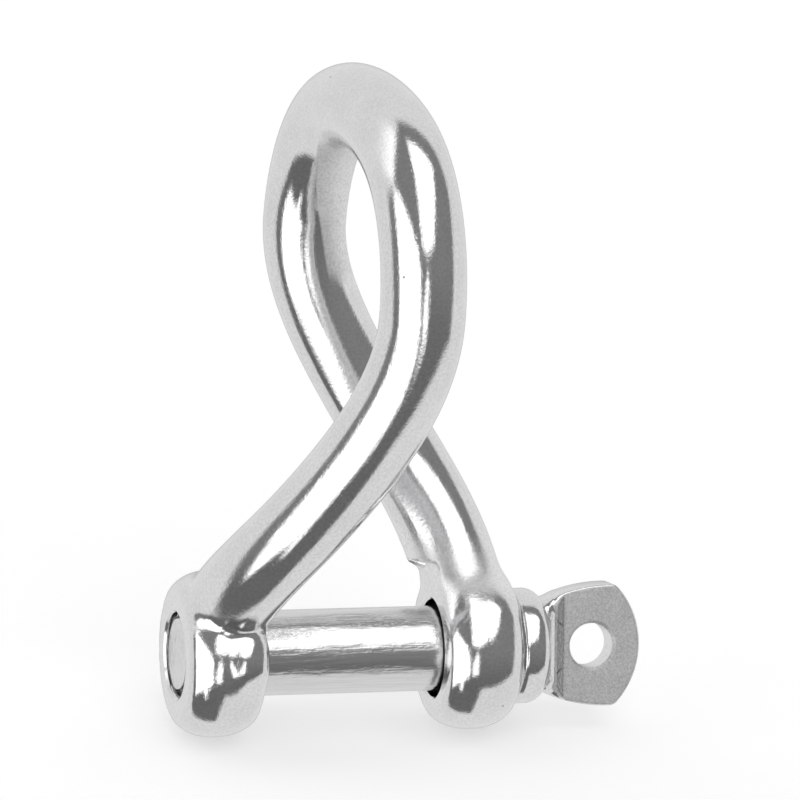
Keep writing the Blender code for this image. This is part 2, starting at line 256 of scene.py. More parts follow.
def face_outwards(mesh):
    """Turns every face over if the mesh's signed volume says that it is inside out."""
    mesh.calc_loop_triangles()
    corners = np.empty(len(mesh.loop_triangles) * 3, np.int32)
    mesh.loop_triangles.foreach_get("vertices", corners)
    places = np.empty(len(mesh.vertices) * 3)
    mesh.vertices.foreach_get("co", places)
    a, b, c = np.moveaxis(places.reshape(-1, 3)[corners.reshape(-1, 3)], 1, 0)
    if np.einsum("ij,ij->i", a, np.cross(b, c)).sum() < 0:
        mesh.flip_normals()


def add_piece(name, mesh):
    """Puts a mesh in the scene as an object at the origin, with its faces pointing out."""
    face_outwards(mesh)
    piece = bpy.data.objects.new(name, mesh)
    bpy.context.scene.collection.objects.link(piece)
    return piece


def combine(piece, operation, tool):
    """Cuts a tool from a piece, or joins it on, with a Boolean, and removes the tool."""
    modifier = piece.modifiers.new(operation, "BOOLEAN")
    modifier.operation = operation
    modifier.solver = "MANIFOLD"
    modifier.object = tool
    bpy.context.view_layer.update()
    evaluated = piece.evaluated_get(bpy.context.evaluated_depsgraph_get())
    mesh = bpy.data.meshes.new_from_object(evaluated)
    piece.modifiers.remove(modifier)
    piece.data = mesh
    bpy.data.objects.remove(tool, do_unlink=True)


def smooth_shade(piece, sharp_degrees):
    """Shades a piece smooth, with edges sharper than the given angle kept crisp."""
    piece.data.shade_smooth()
    piece.data.set_sharp_from_angle(angle=math.radians(sharp_degrees))


def turned_grid(x, radius, around):
    """Rings about the X axis, from x and radius along a profile; radius may also vary round it."""
    angle = np.arange(around) * math.tau / around
    radius = np.broadcast_to(radius, (len(x), around))
    return stack(x[:, None] + 0 * radius, radius * np.cos(angle), radius * np.sin(angle))


def quarter(start, end, steps):
    """Points of a quarter ellipse, leaving start square to the axis and reaching end along it."""
    angle = np.linspace(0, math.pi / 2, steps)
    x = start[0] + (end[0] - start[0]) * (1 - np.cos(angle))
    radius = start[1] + (end[1] - start[1]) * np.sin(angle)
    return np.stack([x, radius], axis=-1)


# ---------------------------------------------------------------- the forged body


BODY_SHARP = 38  # degrees
TINY = 1e-9
LUMP_DEPTH = 0.87  # how deep the swelling's middle lies under the rim, in its own radii
LUMP_STRETCH = (1.0, 1.0, 0.8)  # less than 1 makes it longer along that axis
LUMP_BLEND = 0.5 * MM

# A thread's wave falls at a slope from a peak that is cut to a flat top
THREAD_PEAK, THREAD_SLOPE = 1.6, 4.2


class BarLine:
    """The bent bar's middle line as arrays: a leg, the bow's round, and the other leg.

    The +X leg turns about Z as it rises, by the twist times the sine of its share of the height,
    and spreads to the bow's half width, standing out a little more halfway up by a sine. The round
    is a half circle in the turned plane, its shoulders lifted by the square of the sine of twice
    the angle. The other leg is the first turned half way round Z. All of it drifts to the crown's
    offset, and the legs thicken by the swell where they are within an ear's height of the pin.
    """

    LEG_RINGS = 150
    CROWN_RINGS = 132

    def __init__(self, sizes):
        self.bar_radius = sizes.bar / 2
        bow_radius = sizes.bow_width / 2 + self.bar_radius
        bow_centre = BODY_HIGH.z - self.bar_radius - bow_radius
        ear_span = EAR_OUTER - (1 + sizes.swell) * self.bar_radius - sizes.leg_shy
        ear_height = 2 * -BODY_LOW.z
        z = np.linspace(0, bow_centre, self.LEG_RINGS, endpoint=False)
        share_up = np.clip((z - sizes.straight) / (bow_centre - sizes.straight), 0, 1)
        turn = sizes.twist * np.sin(math.pi / 2 * share_up)
        spread = ease((z - sizes.flare) / (bow_centre - sizes.flare))
        span = ear_span + (bow_radius - ear_span) * spread
        span += sizes.bowing * np.sin(math.pi * share_up)
        leg = stack(span * np.cos(turn), span * np.sin(turn), z)
        angle = np.linspace(0, math.pi, self.CROWN_RINGS)
        plane = np.array([math.cos(sizes.twist), math.sin(sizes.twist), 0.0])
        self.normal = np.array([-math.sin(sizes.twist), math.cos(sizes.twist), 0.0])
        up = np.array([0.0, 0.0, 1.0])
        crown = bow_radius * (np.outer(np.cos(angle), plane) + np.outer(np.sin(angle), up))
        crown[:, 2] += bow_centre + sizes.shoulder * np.sin(2 * angle) ** 2
        points = np.concatenate([leg, crown, leg[::-1] * [-1, -1, 1]])
        offset = np.array([-sizes.lean_left, sizes.lean_back, 0.0])
        self.points = points + ease(points[:, 2:] / bow_centre) * offset
        self.tangents = np.gradient(self.points, axis=0)
        self.tangents /= np.linalg.norm(self.tangents, axis=1, keepdims=True)
        swell = ease(1 - self.points[:, 2] / ear_height)
        self.radii = self.bar_radius * (1 + sizes.swell * swell)
        turns = np.concatenate([np.zeros(len(leg)), angle, np.full(len(leg), math.pi)])
        self.outward = np.outer(np.cos(turns), plane) + np.outer(np.sin(turns), up)

    def distance(self, points, home, reach=26):
        """Distance from each ring's points to the bar's surface, looking only near its station."""
        near = np.clip(home[:, None] + np.arange(-reach, reach + 1), 0, len(self.points) - 1)
        offsets = points[:, :, None] - self.points[near][:, None]
        squares = np.einsum("rako,rako->rak", offsets, offsets)
        nearest = squares.argmin(axis=2)[..., None]
        offset = np.take_along_axis(offsets, nearest[..., None], axis=2)[:, :, 0]
        station = near[np.arange(len(near))[:, None], nearest[..., 0]]
        along = np.einsum("rao,rao->ra", offset, self.tangents[station])
        apart = np.sqrt(np.maximum(np.einsum("rao,rao->ra", offset, offset) - along**2, 0))
        last = len(self.points) - 1
        at_end = ((home == 0) | (home == last))[:, None] & ((station == 0) | (station == last))
        full = np.sqrt(np.einsum("rao,rao->ra", offset, offset))
        return np.where(at_end, full, apart) - self.radii[station]


def rounded_corner(along, out, round_along, round_out):
    """Distance to a corner rounded as a quarter ellipse, from how far a point is past its sides."""
    stretch = round_along / round_out
    a, b = np.maximum(along + round_along, 0), np.maximum(out + round_out, 0) * stretch
    curved = np.hypot(a, b)
    slope = np.hypot(a, b * stretch) / np.maximum(curved, TINY)
    inside = np.minimum(np.maximum(along + round_along, (out + round_out) * stretch), 0)
    return (curved + inside - round_along) / np.maximum(slope, np.where(curved > 0, 0, 1))


def ear_radius(sizes):
    """The ears' radius, from the body's lowest point up to their middle."""
    return sizes.ear_rise - BODY_LOW.z


def ear_distance(points, sizes):
    """Distance to an ear: a thick disc about the pin, domed outside, with a rounded rim inside."""
    across = np.abs(points[..., 0]) - EAR_MIDDLE
    out = np.hypot(points[..., 1], points[..., 2] - sizes.ear_rise) - ear_radius(sizes)
    outer_side, inner_side = across - EAR_HALF - sizes.dressed, -across - EAR_HALF - sizes.milled
    outside = rounded_corner(outer_side, out, sizes.dome_depth, sizes.dome)
    inside = rounded_corner(inner_side, out, sizes.inner_depth, sizes.inner_dome)
    return np.maximum(outside, inside)


def lump_distance(points, sizes):
    """Distance to the small round swelling left by the forging on the front of the threaded ear."""
    across, up = np.array(sizes.lump_place)
    rim = ear_radius(sizes) - sizes.lump * LUMP_DEPTH
    turn = up / rim
    centre = np.array([across, -rim * math.cos(turn), sizes.ear_rise + rim * math.sin(turn)])
    return np.linalg.norm((points - centre) * LUMP_STRETCH, axis=-1) - sizes.lump


def jaw_distance(points, sizes):
    """Distance to the milling cut: a disc as wide as the jaw and a little larger than the ears."""
    radius = ear_radius(sizes) + sizes.milled
    out = np.hypot(points[..., 1], points[..., 2])
    return smooth_max(np.abs(points[..., 0]) - EAR_INNER, out - radius, sizes.milled)


def body_distance(points, home, line, sizes):
    """Distance to the forged body: bar, ears and swelling blended, less the milled jaw."""
    solid = smooth_min(line.distance(points, home), ear_distance(points, sizes), sizes.fillet)
    solid = smooth_min(solid, lump_distance(points, sizes), LUMP_BLEND)
    solid = smooth_max(solid, np.abs(points[..., 0]) - EAR_OUTER, sizes.dressed)
    return smooth_max(solid, -jaw_distance(points, sizes), sizes.milled)


def first_surface(distance, origins, directions, furthest, steps=14, trims=9):
    """How far each ray goes to the surface: even steps find where it leaves the solid, then false
    position closes in, halving the value at whichever end stays."""
    low = np.zeros(directions.shape[:2])
    high = np.full_like(low, furthest)
    low_value = distance(origins[:, None] + low[..., None] * directions)
    high_value = np.full_like(low, furthest)
    open_rays = np.ones_like(low, bool)
    for step in range(1, steps + 1):
        reach = furthest * step / steps
        value = distance(origins[:, None] + reach * directions)
        leaves = open_rays & (value > 0)
        high[leaves], high_value[leaves] = reach, value[leaves]
        open_rays &= value <= 0
        low[open_rays], low_value[open_rays] = reach, value[open_rays]
    for _ in range(trims):
        guess = low - low_value * (high - low) / (high_value - low_value)
        value = distance(origins[:, None] + guess[..., None] * directions)
        inside = value <= 0
        high_value = np.where(inside, high_value * 0.5, value)
        low_value = np.where(inside, value, low_value * 0.5)
        low, high = np.where(inside, guess, low), np.where(inside, high, guess)
    return guess


def body_grid(sizes, around=128, fan=44):
    """The body's skin: rays leave the bar's middle line level with the floor in the legs, square to
    the line in the round, and fan down to a pole under each ear."""
    line = BarLine(sizes)
    count = len(line.points)
    angle = np.arange(around) * math.tau / around
    round_dirs = np.cos(angle)[:, None] * line.outward[:, None]
    round_dirs = round_dirs + np.sin(angle)[:, None] * line.normal
    tilt = np.linspace(0, math.pi / 2, fan, endpoint=False)[:, None, None]
    down = np.array([0.0, 0.0, -1.0])
    start_fan = np.sin(tilt) * round_dirs[0] + np.cos(tilt) * down
    end_fan = (np.sin(tilt) * round_dirs[-1] + np.cos(tilt) * down)[::-1]
    directions = np.concatenate([start_fan, round_dirs, end_fan])
    home = np.concatenate([np.zeros(fan, int), np.arange(count), np.full(fan, count - 1)])
    origins = line.points[home]
    furthest = 2 * EAR_HALF + 2 * line.bar_radius
    reach = first_surface(
        lambda points: body_distance(points, home, line, sizes), origins, directions, furthest,
    )
    return origins[:, None] + reach[..., None] * directions


def thread_wave(x, angle, pitch):
    """0 on a thread's crests and 1 in its grooves, with straight flanks, on a right-hand helix."""
    phase = np.mod(x / pitch - angle / math.tau, 1.0)
    return np.clip(THREAD_PEAK - THREAD_SLOPE * np.abs(phase - 0.5), 0.0, 1.0)


def bore_tool(name, side, radius, edge, groove, pitch, rings=90, around=96):
    """The tool that cuts an ear's hole: a rod along X with flared mouths and thread ridges."""
    over = 1.0 * MM
    inside, outside = EAR_INNER + edge, EAR_OUTER - edge
    x = np.concatenate([
        np.full(2, EAR_INNER - over), np.linspace(inside, outside, rings),
        np.full(2, EAR_OUTER + over),
    ])
    plain = radius + np.maximum(np.maximum(inside - x, x - outside), 0.0)
    angle = np.arange(around) * math.tau / around
    wave = thread_wave(x[:, None], angle, pitch) * groove
    along = ((x > inside) & (x < outside))[:, None]
    radii = plain[:, None] + np.where(along, wave, 0.0)
    radii[[0, -1]] = 0.0
    points = turned_grid(x * side, radii, around)
    return add_piece(name, grid_mesh(name, points, poles=True))


def unroll(body, skin, sizes):
    """Gives the body a place along and round the bar, in metres, for streaks along its bends."""
    rings, around = skin.shape[:2]
    middle = skin.mean(axis=1)
    along = np.concatenate([[0], np.cumsum(np.linalg.norm(np.diff(middle, axis=0), axis=1))])
    angle = np.arange(around) * math.tau / around
    radius = sizes.bar / 2
    places = stack(along[:, None] + 0 * angle, radius * np.cos(angle), radius * np.sin(angle))
    places = np.concatenate([places[1:-1].reshape(-1, 3), places[[0, -1], 0]])
    attribute = body.data.attributes.new("bar_place", "FLOAT_VECTOR", "POINT")
    attribute.data.foreach_set("vector", places.ravel())


def make_body(sizes, pitch):
    """The forged body with its plain and its tapped hole."""
    skin = body_grid(sizes)
    body = add_piece("forged_body", grid_mesh("forged_body", skin, poles=True))
    unroll(body, skin, sizes)
    for name, side, bore, groove in (
        ("plain_bore", 1, sizes.plain_bore, 0.0),
        ("tapped_bore", -1, sizes.tapped_bore, sizes.tap_depth),
    ):
        tool = bore_tool(name, side, bore / 2, sizes.bore_edge, groove, pitch)
        combine(body, "DIFFERENCE", tool)
    return body


# ---------------------------------------------------------------- the pin


PIN_SHARP = 24  # degrees
MOUTH_SHARE = 0.45  # of the eye's edge, either side of its middle, that belongs to a hole's mouth


def collar_end(sizes):
    """Where the collar ends and the eye begins, along X."""
    return PIN_HIGH.x - sizes.eye_length


def thread_profile(sizes, start, end, around, rings_per_turn=14):
    """The threaded end: crests at the thread's size, grooves along a helix, a chamfered tip."""
    x = np.arange(start, end, sizes.pitch / rings_per_turn)
    angle = np.arange(around) * math.tau / around
    crest = sizes.thread / 2
    run_out = np.clip((end - x) / sizes.pitch, 0, 1)[:, None]
    radius = crest - sizes.depth * thread_wave(x[:, None], angle, sizes.pitch) * run_out
    tip = crest - np.maximum(sizes.end_chamfer - (x - start), 0)
    return x, np.minimum(radius, tip[:, None])


def pin_core_grid(sizes, around=128, shank_rings=60):
    """The turned part of the pin: tip, thread, shank and collar."""
    shank = sizes.shank / 2
    shoulder = sizes.seat - EAR_INNER
    collar_start = EAR_OUTER + sizes.seat
    x, threads = thread_profile(sizes, PIN_LOW.x, shoulder, around)
    soft = 0.15 * MM
    shank_x = np.linspace(shoulder + soft, collar_start, shank_rings)
    front = quarter(
        (collar_start, COLLAR_RADIUS - sizes.collar_edge),
        (collar_start + sizes.collar_edge, COLLAR_RADIUS), steps=10,
    )
    back = quarter(
        (collar_end(sizes), COLLAR_RADIUS - sizes.collar_round),
        (collar_end(sizes) - sizes.collar_round, COLLAR_RADIUS), steps=20,
    )[::-1]
    profile = np.concatenate([
        [(shoulder, shank - soft)],
        np.stack([shank_x, np.full_like(shank_x, shank)], axis=-1),
        front, back,
    ])
    rings = np.concatenate([threads, np.broadcast_to(profile[:, 1:], (len(profile), around))])
    places = np.concatenate([x, profile[:, 0]])
    places = np.concatenate([places[:1], places, places[-1:]])
    rings = np.concatenate([0 * rings[:1], rings, 0 * rings[-1:]])
    return turned_grid(places, rings, around)


def arc(start, end, bulge, steps):
    """Points of an arc between two points that stands out by bulge to the left of its way."""
    start, end = np.array(start), np.array(end)
    half = (end - start) / 2
    span = np.hypot(*half)
    left = np.array([-half[1], half[0]]) / span
    radius = (span**2 + bulge**2) / (2 * bulge)
    centre = start + half + left * (bulge - radius)
    sweep = np.linspace(1, -1, steps) * math.asin(span / radius)
    return centre + radius * (np.outer(np.cos(sweep), left) - np.outer(np.sin(sweep), half / span))


def eye_outline(sizes, count=260):
    """The eye's outline in its own plane: flanks, a round end, and a root in the collar.

    Its points are evenly spaced, and each becomes the mean of its neighbours, which rounds corners.
    """
    root = -1.0 * MM
    neck, corner = sizes.neck_width / 2, sizes.eye_width / 2
    end_bulge = sizes.eye_length - sizes.corner
    upper = arc((root, neck), (sizes.corner, corner), sizes.flank_bulge, steps=60)
    end = arc((sizes.corner, corner), (sizes.corner, -corner), end_bulge, steps=90)
    lower = upper[::-1] * [1, -1]
    loop = np.concatenate([upper, end[1:-1], lower, upper[:1]])
    walked = np.concatenate([[0], np.cumsum(np.hypot(*np.diff(loop, axis=0).T))])
    even = np.linspace(0, walked[-1], count, endpoint=False)
    points = np.stack([np.interp(even, walked, loop[:, axis]) for axis in range(2)], axis=-1)
    spread = int(round(sizes.corner_round / (walked[-1] / count)))
    shifts = range(-spread, spread + 1)
    return sum(np.roll(points, shift, axis=0) for shift in shifts) / len(shifts)


def eye_grid(sizes, face_steps=25, round_steps=6):
    """The flat eye: a profile from the hole's wall over one face, round the edge and back over the
    other, carried along the outline. Towards the collar the faces part, first along a straight
    facet and then along a cubic, and the edges grow rounder."""
    outline = eye_outline(sizes)
    ahead = np.roll(outline, -1, axis=0) - np.roll(outline, 1, axis=0)
    outward = np.stack([-ahead[:, 1], ahead[:, 0]], axis=-1)
    outward /= np.linalg.norm(outward, axis=1, keepdims=True)
    centre = np.array([sizes.hole_distance, 0.0])
    spoke = (outline - centre) / np.linalg.norm(outline - centre, axis=1, keepdims=True)
    wall = centre + spoke * sizes.hole / 2
    mouth = centre + spoke * (sizes.hole / 2 + sizes.edge)
    outward *= np.sign(np.sum(outward * spoke, axis=1, keepdims=True))
    thin, thick = sizes.thickness / 2, sizes.neck_thickness / 2
    neck_end, facet_end, facet_slope = 2.1 * MM, 1.2 * MM, 0.45
    neck_soft = 1.5 * MM

    def half_thickness(x):
        facet = (neck_end - np.clip(x, facet_end, neck_end)) * facet_slope
        rest = thick - thin - (neck_end - facet_end) * facet_slope
        return thin + facet + ease((facet_end - x) / facet_end) * rest

    soft = sizes.edge + (neck_soft - sizes.edge) * ease((neck_end - outline[:, :1]) / neck_end)
    rim = outline - outward * soft
    row = [(wall, sizes.edge)]
    row += [(mouth + (rim - mouth) * t, 0.0) for t in np.linspace(0, 1, face_steps + 1)]
    for angle in np.linspace(0, math.pi / 2, round_steps + 1)[1:]:
        row.append((rim + outward * soft * math.sin(angle), soft[:, 0] * (1 - math.cos(angle))))
    half = np.stack([
        stack(plan[:, 0], half_thickness(plan[:, 0]) - drop, plan[:, 1]) for plan, drop in row
    ])
    return np.concatenate([half, half[::-1] * [1, -1, 1]])


def place_eye(points, sizes):
    """Moves the eye's points from its own plane to the collar, turned about the pin."""
    turn = np.array(Matrix.Rotation(-EYE_TURN, 3, "X"))
    return points @ turn.T + [collar_end(sizes), 0, 0]


def make_pin(sizes):
    """The screw pin: the turned core with the flat eye joined to its collar."""
    pin = add_piece("turned_pin", grid_mesh("turned_pin", pin_core_grid(sizes), poles=True))
    eye_points = place_eye(eye_grid(sizes), sizes)
    eye = add_piece("flat_eye", grid_mesh("flat_eye", eye_points, poles=False))
    combine(pin, "UNION", eye)
    return pin


def pin_finishes(pin, sizes):
    """Which finish each face has: 0 drawn; 1 polished, beyond the shank; and 2 pressed, on the
    eye's flat faces and round its hole's mouths."""
    middles, normals = (np.empty(len(pin.data.polygons) * 3) for _ in range(2))
    pin.data.polygons.foreach_get("center", middles)
    pin.data.polygons.foreach_get("normal", normals)
    middles, normals = middles.reshape(-1, 3), normals.reshape(-1, 3)
    from_hole = middles - [collar_end(sizes) + sizes.hole_distance, 0, 0]
    from_hole -= np.outer(from_hole @ EYE_NORMAL, EYE_NORMAL)
    mouth_radius = (sizes.hole + sizes.edge) / 2
    off_mouth = np.abs(np.linalg.norm(from_hole, axis=1) - mouth_radius)
    flat = np.abs(normals @ EYE_NORMAL) > math.cos(math.radians(PIN_SHARP))
    pressed = flat | (off_mouth < sizes.edge * MOUTH_SHARE)
    pressed &= middles[:, 0] > collar_end(sizes) + MICRON
    beyond_shank = middles[:, 0] > EAR_OUTER + sizes.seat / 2
    return beyond_shank.astype(np.int32) + pressed.astype(np.int32)


# ---------------------------------------------------------------- shader maths


NOISE_MEAN = 0.5


class Value:
    """A shader socket that takes part in Python expressions: each operator adds its Math node."""

    def __init__(self, graph, socket):
        self.graph = graph
        self.socket = socket

    def math(self, operation, *others):
        """The socket that a Math node gives for this value and the others."""
        return self.graph.math(operation, self, *others)

    def __add__(self, other):
        return self.graph.math("ADD", self, other)

    __radd__ = __add__

    def __sub__(self, other):
        return self.graph.math("SUBTRACT", self, other)

    def __rsub__(self, other):
        return self.graph.math("SUBTRACT", other, self)

    def __mul__(self, other):
        return self.graph.math("MULTIPLY", self, other)

    __rmul__ = __mul__


class Graph:
    """A node tree that is written as expressions."""

    def __init__(self, tree):
        self.tree = tree

    def node(self, kind, settings=None, **inputs):
        """A node of a kind, its settings made first, then its sockets given values or links."""
        node = self.tree.nodes.new(kind)
        for key, value in (settings or {}).items():
            setattr(node, key, value)
        for key, value in inputs.items():
            place = int(key[1:]) if key[0] == "_" else key.replace("_", " ")
            socket = node.inputs[place]
            if isinstance(value, Value):
                self.tree.links.new(value.socket, socket)
            else:
                socket.default_value = value
        return node

    def out(self, kind, settings=None, output=0, **inputs):
        """One output of a new node, ready for an expression."""
        return Value(self, self.node(kind, settings, **inputs).outputs[output])

    def math(self, operation, *values):
        """A Math node on values."""
        places = {f"_{place}": value for place, value in enumerate(values)}
        return self.out("ShaderNodeMath", {"operation": operation}, **places)

    def range(self, value, low, high):
        """Goes smoothly from 0 to 1 as a value goes from low to high, and is clamped beyond."""
        return self.out(
            "ShaderNodeMapRange", {"interpolation_type": "SMOOTHSTEP"},
            Value=value, From_Min=low, From_Max=high,
        )

    def mix_value(self, factor, a, b):
        """A mix of two values."""
        return self.out("ShaderNodeMix", {"data_type": "FLOAT"}, _0=factor, _2=a, _3=b)

    def mix(self, factor, a, b):
        """A mix of two colours."""
        return self.out("ShaderNodeMix", {"data_type": "RGBA"}, output=2, _0=factor, _6=a, _7=b)


def opaque(rgb, gain):
    """A colour with full alpha, brightened by a gain."""
    return (*(min(1.0, channel * gain) for channel in rgb), 1.0)


def shades(graph, factor, rgb, darkest, lightest):
    """A colour that goes from its darkest to its lightest shade, each a gain, with a factor."""
    return graph.mix(factor, opaque(rgb, darkest), opaque(rgb, lightest))


def new_metal(name):
    """A fully metallic Principled material, its graph and its shader."""
    material = bpy.data.materials.new(name)
    material.use_nodes = True
    graph = Graph(material.node_tree)
    shader = material.node_tree.nodes["Principled BSDF"]
    shader.inputs["Metallic"].default_value = 1.0
    return material, graph, shader


def finish_metal(graph, shader, colour_value, roughness, height, depth):
    """Feeds the shader: colour, roughness, and a bump whose full height is depth in metres."""
    bump = graph.out("ShaderNodeBump", Strength=1.0, Distance=depth, Height=height)
    for name, value in (("Base Color", colour_value), ("Roughness", roughness), ("Normal", bump)):
        graph.tree.links.new(value.socket, shader.inputs[name])


def object_place(graph, stretch=(1.0, 1.0, 1.0)):
    """The surface's place on the object in metres, stretched along the axes."""
    place = graph.out("ShaderNodeTexCoord", output=3)
    return graph.out("ShaderNodeMapping", Vector=place, Scale=stretch)


def noise(graph, place, per_metre, detail=2.0, roughness=0.5):
    """Noise from 0 to 1 with so many features in a metre."""
    return graph.out(
        "ShaderNodeTexNoise", Vector=place, Scale=per_metre, Detail=detail, Roughness=roughness,
    )


def pits(graph, place, per_metre, size, share_kept, floor_share=0.4):
    """1 in small round pits scattered over the surface: a share of the cells has one in its middle,
    with a flat floor over a share of its size."""
    cells = {"feature": "F1", "distance": "EUCLIDEAN"}
    near = graph.out("ShaderNodeTexVoronoi", cells, Vector=place, Scale=per_metre)
    pick = graph.out("ShaderNodeTexVoronoi", cells, output=1, Vector=place, Scale=per_metre)
    kept = graph.math("LESS_THAN", pick, share_kept)
    return graph.range(near, size, size * floor_share) * kept


def polished_steel(looks):
    """Mirror-polished forging: lines that follow the bar, faint waves left by the wheel, a fine
    orange peel, small pits darkened as painted shade, and rougher skin inside the crown and above
    the plain ear, where the wheel hardly reaches, its colour lifted as a painted reflection in the
    crown and a painted highlight above the ear. Sums of these patterns, each with its weight, give
    gloss and height."""
    material, graph, shader = new_metal("polished stainless steel")
    place = object_place(graph)
    bar_place = graph.out("ShaderNodeAttribute", {"attribute_name": "bar_place"}, output=1)
    drawn_place = graph.out("ShaderNodeMapping", Vector=bar_place, Scale=(0.12, 1.0, 1.0))
    waves = noise(graph, place, per_metre=160, detail=1.0)
    ripples = noise(graph, place, per_metre=650)
    peel = noise(graph, place, per_metre=3600, detail=3.0, roughness=0.65)
    clouds = noise(graph, place, per_metre=300, detail=4.0, roughness=0.6)
    lines = noise(graph, drawn_place, per_metre=2200, detail=4.0, roughness=0.65)
    hole = pits(graph, place, per_metre=420, size=0.07, share_kept=0.16)
    # Where the skin is rougher, and where its colour is lifted below: a painted reflection inside
    # the crown and a painted highlight in the plain ear's hollow.
    skin = graph.math("MAXIMUM", crown_roughness_and_painted_reflection(graph, place), ear_hollow_roughness_and_painted_highlight(graph, place))
    grain = graph.range(peel, 0.35, 0.65) * 0.4 + clouds * 0.6
    tone = shades(graph, grain, looks.polished, darkest=0.86, lightest=1.12)
    # Pits darkened towards a quarter of the steel's colour: painted shade in them.
    tone = graph.mix(hole * 0.75, tone, opaque(looks.polished, gain=0.25))
    # A brighter tone laid on those patches: painted reflection inside the crown, painted highlight
    # above the plain ear.
    speckle = shades(graph, graph.range(peel, 0.35, 0.6), looks.polished, 1.08, 1.3)
    tone = graph.mix(skin, tone, speckle)
    roughness = looks.polished_rough + (lines - NOISE_MEAN) * 0.1 + (peel - NOISE_MEAN) * 0.08
    roughness = roughness + hole * 0.3 + skin * 0.5
    height = waves * 0.35 + ripples * 0.16 + lines * 0.3 + peel * (skin * 0.6 + 0.28) - hole * 0.5
    finish_metal(graph, shader, tone, roughness, height, depth=40 * MICRON)
    return material


def split(graph, place, axis):
    """One coordinate of a place."""
    return graph.out("ShaderNodeSeparateXYZ", output=axis, Vector=place)


def fade(graph, value, start, end):
    """Goes from 0 to 1 as a length goes from start to end, both in millimetres."""
    return graph.range(value, start * MM, end * MM)


def crown_roughness_and_painted_reflection(graph, place):
    """1 on the rougher skin inside the crown, on the far limb's side of the bow, whose colour is
    lifted there as a painted reflection.

    It starts past an upright slanting plane and a little to the back, ends at the bar's middle
    line, and fades out downwards along another slanting plane.
    """
    slant, lower_slant, bow_centre = 0.22, 0.5, 38.5 * MM
    x, y, z = (split(graph, place, axis) for axis in range(3))
    side = fade(graph, x + z * slant, 6.3, 6.7) * fade(graph, y, 5.0, 8.0)
    outward = graph.math("MAXIMUM", y.math("ABSOLUTE"), z - bow_centre)
    inner = fade(graph, outward, 16.5, 13.5)
    return side * inner * fade(graph, z + y * lower_slant, 38.0, 41.0)


def ear_hollow_roughness_and_painted_highlight(graph, place):
    """Up to a half in the hollow where the leg leaves the plain ear, and 0 above and below it:
    the rougher skin there, whose colour is lifted as a painted highlight.
    """
    x, z = split(graph, place, 0), split(graph, place, 2)
    hollow = fade(graph, z, 6.2, 7.6) * fade(graph, z, 12.0, 9.0)
    return hollow * graph.range(x, 0.0, EAR_INNER) * 0.5


def drawn_steel(looks):
    """Turned and drawn bar: long streaks along the pin, with a soft gloss."""
    material, graph, shader = new_metal("drawn stainless steel")
    streaked, dragged, torn = (object_place(graph, (x, 1.0, 1.0)) for x in (0.06, 0.14, 0.5))
    streaks = noise(graph, streaked, per_metre=3400, detail=3.0, roughness=0.6)
    drags = noise(graph, dragged, per_metre=900)
    grain = noise(graph, object_place(graph), per_metre=3800)
    tone = shades(graph, streaks, looks.drawn, darkest=0.86, lightest=1.12)
    tears = noise(graph, torn, per_metre=1500, detail=4.0, roughness=0.65)
    roughness = looks.drawn_rough + (streaks - NOISE_MEAN) * 0.1 + (grain - NOISE_MEAN) * 0.04
    height = streaks * 0.3 + drags * 0.8 + tears * 0.5 + grain * 0.04
    finish_metal(graph, shader, tone, roughness, height, depth=90 * MICRON)
    return material


def coined_steel(looks):
    """Pressed and tumbled face: matt grey with fine grain; small dents darkened as painted shade.
    """
    material, graph, shader = new_metal("coined stainless steel")
    place = object_place(graph)
    grain = noise(graph, place, per_metre=5200, detail=3.0, roughness=0.7)
    clouds = noise(graph, place, per_metre=700, detail=3.0)
    hole = pits(graph, place, per_metre=1500, size=0.16, share_kept=0.2)
    speckle = graph.range(grain, 0.34, 0.66) * 0.65 + clouds * 0.35
    tone = shades(graph, speckle, looks.coined, darkest=0.78, lightest=1.22)
    # Dents darkened towards the steel's colour at 0.6: painted shade in them.
    tone = graph.mix(hole * 0.35, tone, opaque(looks.coined, gain=0.6))
    roughness = looks.coined_rough + (grain - NOISE_MEAN) * 0.2 + hole * 0.1
    height = grain * 0.55 + clouds * 0.4 - hole * 0.6
    finish_metal(graph, shader, tone, roughness, height, depth=40 * MICRON)
    return material


# ---------------------------------------------------------------- the studio


# Where the camera looks, and how far above and left of that, in millimetres
AIM = (4.0, 0.0, 24.0)
AIM_UP, AIM_LEFT = 1.59, 0.1

# Panels round the main view's axis, in degrees to the right of it and above it
DARK_ROOM = [
    (-12, 87), (-62, 25), (-62, -64), (20, -62), (46, -55), (82, -40), (88, 0), (91, 45),
    (75, 69), (50, 83), (20, 89),
]
DARK_LEFT = [(-60, 26), (-86, 14), (-91, -5), (-86, -36), (-66, -66), (-50, -66), (-50, 26)]
DARK_FLOOR = [(-84, -40), (-80, -62), (-60, -86), (-30, -101), (3, -106), (22, -60), (20, -50)]
LEFT_LAMP = [
    (-58, 25), (-66, 20), (-70, 0), (-69, -20), (-66, -42), (-62, -51), (-20, -48), (-7, -40),
    (-6, -12), (-12, 1), (-45, 22),
]
LEFT_LAMP_FOOT = [(-32, -45), (-29, -61), (-24, -61), (-21, -45)]
SMALL_LAMP = [(0, -27), (0, -40), (13, -38), (14.5, -14), (12, -7), (8, -10)]
RIGHT_LAMP = [
    (-1, 2), (12, -1), (29, 5), (38, 20), (47, 38), (53, 56), (44, 62), (20, 70), (-3, 70),
]
LAMP_SOFT, DARK_SOFT = 2.2, 3.5

# How much brighter the dark room is from this far below the axis up to its level
DARK_GAIN, DARK_FOOT = 1.5, -60

